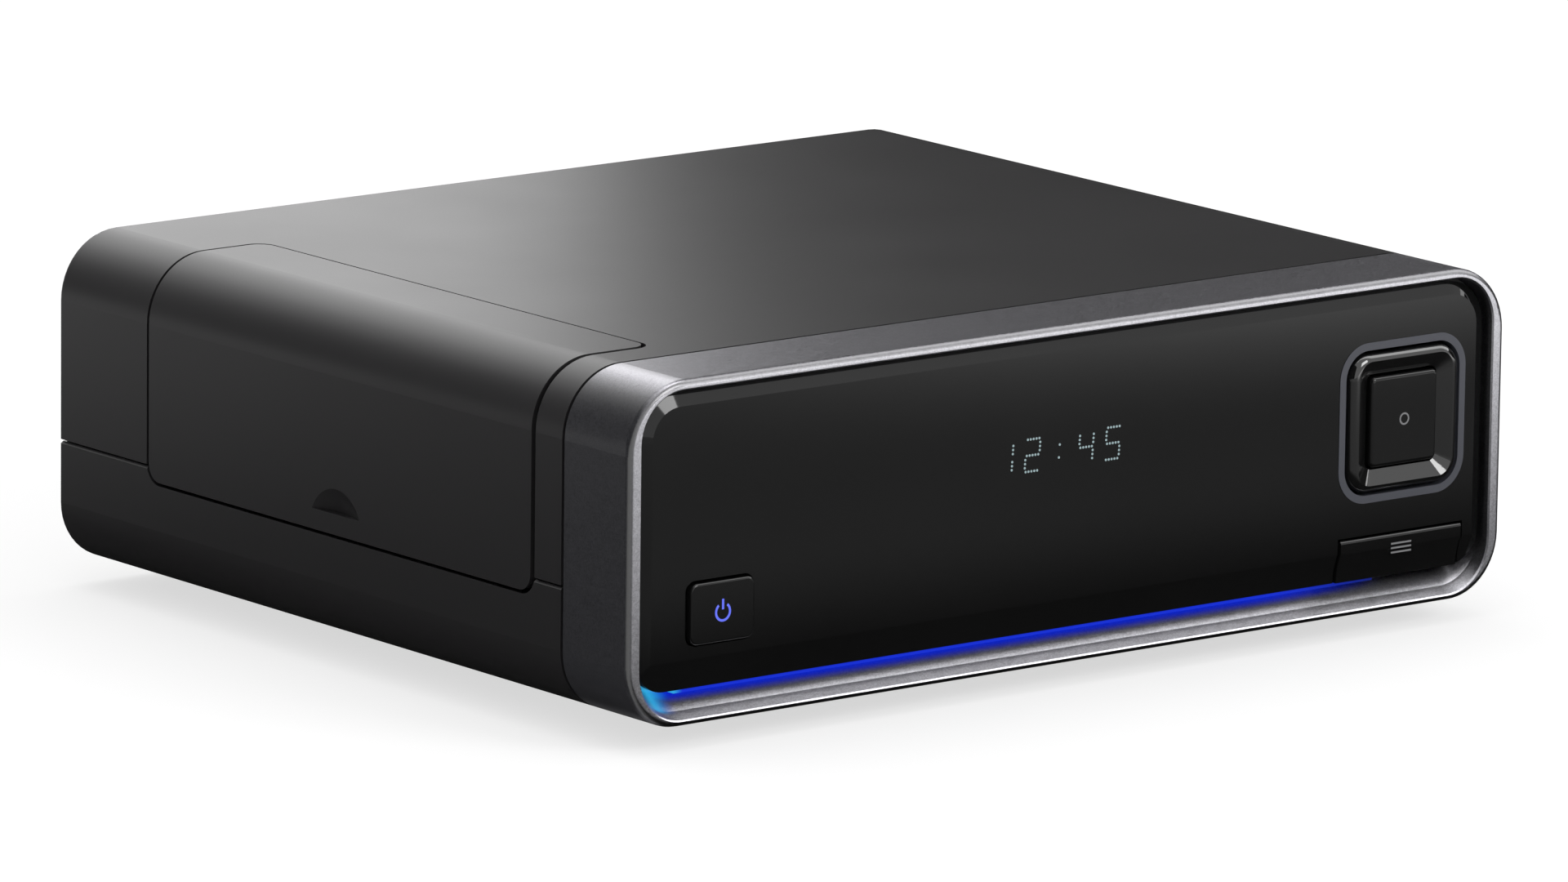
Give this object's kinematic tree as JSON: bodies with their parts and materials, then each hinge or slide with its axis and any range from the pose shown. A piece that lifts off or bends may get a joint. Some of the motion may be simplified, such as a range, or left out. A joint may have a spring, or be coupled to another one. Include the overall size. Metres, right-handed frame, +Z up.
{
  "type": "media player with hard drive tray",
  "caption": "Tabletop media player with a gloss front panel, direction pad, lit lower edge and a hard drive tray that slides out of its side behind an L-shaped door.",
  "frame": {"origin": "on the table under the middle of the case, at the bottom centre of the bounding box", "axes": "+X to the right seen from the front and the case's longest side, +Y to the rear, +Z up and the shortest side; the front panel faces -Y and the tray slides out along -X"},
  "size_m": [0.183, 0.156, 0.06],
  "materials": {
    "case_paint": "dark charcoal satin",
    "bezel_metallic": "fine metallic grey satin paint",
    "gloss_black": "polished gloss black",
    "trim_grey": "satin blue grey",
    "black_plastic": "moulded matt black",
    "light": "clear light guide, lit blue",
    "circuit_board": "green solder mask",
    "sheet_steel": "plain zinc-plated sheet",
    "screw_steel": "plated steel",
    "cast_aluminium": "cast, matt",
    "drive_lid_steel": "satin stamped lid",
    "foot_rubber": "matt rubber"
  },
  "bodies": {
    "case": {"lower_shell": "case_paint", "upper_cover": "case_paint", "front_bezel": "bezel_metallic", "front_panel": "gloss_black", "panel_carrier": "black_plastic", "nav_trim": "trim_grey", "front_board": "circuit_board", "key_switches": "black_plastic", "nav_switches": "black_plastic", "display_module": "black_plastic", "light_guide": "light", "light_source": "light", "front_screws": "screw_steel", "tray_rails": "black_plastic", "drive_deck": "sheet_steel", "base_screws": "screw_steel", "main_board": "circuit_board", "board_screws": "screw_steel", "board_chips": "black_plastic", "heat_sink": "cast_aluminium", "board_capacitors": "black_plastic", "backplane": "circuit_board", "drive_socket": "black_plastic", "lan_port": "sheet_steel", "usb_ports": "sheet_steel", "optical_port": "black_plastic", "hdmi_port": "sheet_steel", "dc_jack": "black_plastic", "av_jacks": "black_plastic", "rear_panel": "sheet_steel", "fan_frame": "black_plastic", "fan_screws": "screw_steel", "rear_screws": "screw_steel", "feet": "foot_rubber"},
    "tray": {"drive_tray": "sheet_steel", "drive_door": "case_paint", "door_screws": "screw_steel", "drive_case": "cast_aluminium", "drive_lid": "drive_lid_steel", "drive_board": "circuit_board", "drive_plug": "black_plastic", "drive_screws": "screw_steel"},
    "power_button": {"power_button": "gloss_black"},
    "option_key": {"option_key": "gloss_black"},
    "ok_button": {"ok_button": "gloss_black"},
    "nav_gimbal": {"nav_gimbal": "black_plastic"},
    "nav_ring": {"nav_ring": "gloss_black"},
    "fan_rotor": {"fan_rotor": "black_plastic"}
  },
  "joints": [
    {"name": "tray_slide", "type": "slide", "parent": "case", "child": "tray", "axis": [-1, 0, 0], "range_m": [0, 0.14]},
    {"name": "power_press", "type": "slide", "parent": "case", "child": "power_button", "axis": [0, 1, 0], "range_m": [0, 0.0008], "stiffness_N_per_m": 1500},
    {"name": "option_press", "type": "slide", "parent": "case", "child": "option_key", "axis": [0, 1, 0], "range_m": [0, 0.0008], "stiffness_N_per_m": 1500},
    {"name": "ok_press", "type": "slide", "parent": "case", "child": "ok_button", "axis": [0, 1, 0], "range_m": [0, 0.0008], "stiffness_N_per_m": 1500},
    {"name": "nav_rock_updown", "type": "hinge", "parent": "case", "child": "nav_gimbal", "pos_m": [0.0702, -0.0707, 0.036], "axis": [1, 0, 0], "range_deg": [-1.6, 1.6], "stiffness_Nm_per_rad": 0.3},
    {"name": "nav_rock_leftright", "type": "hinge", "parent": "nav_gimbal", "child": "nav_ring", "pos_m": [0.0702, -0.0707, 0.036], "axis": [0, 0, 1], "range_deg": [-1.6, 1.6], "stiffness_Nm_per_rad": 0.3},
    {"name": "fan_spin", "type": "hinge", "parent": "case", "child": "fan_rotor", "pos_m": [0.05, 0.0658, 0.0367], "axis": [0, 1, 0], "continuous": true}
  ]
}
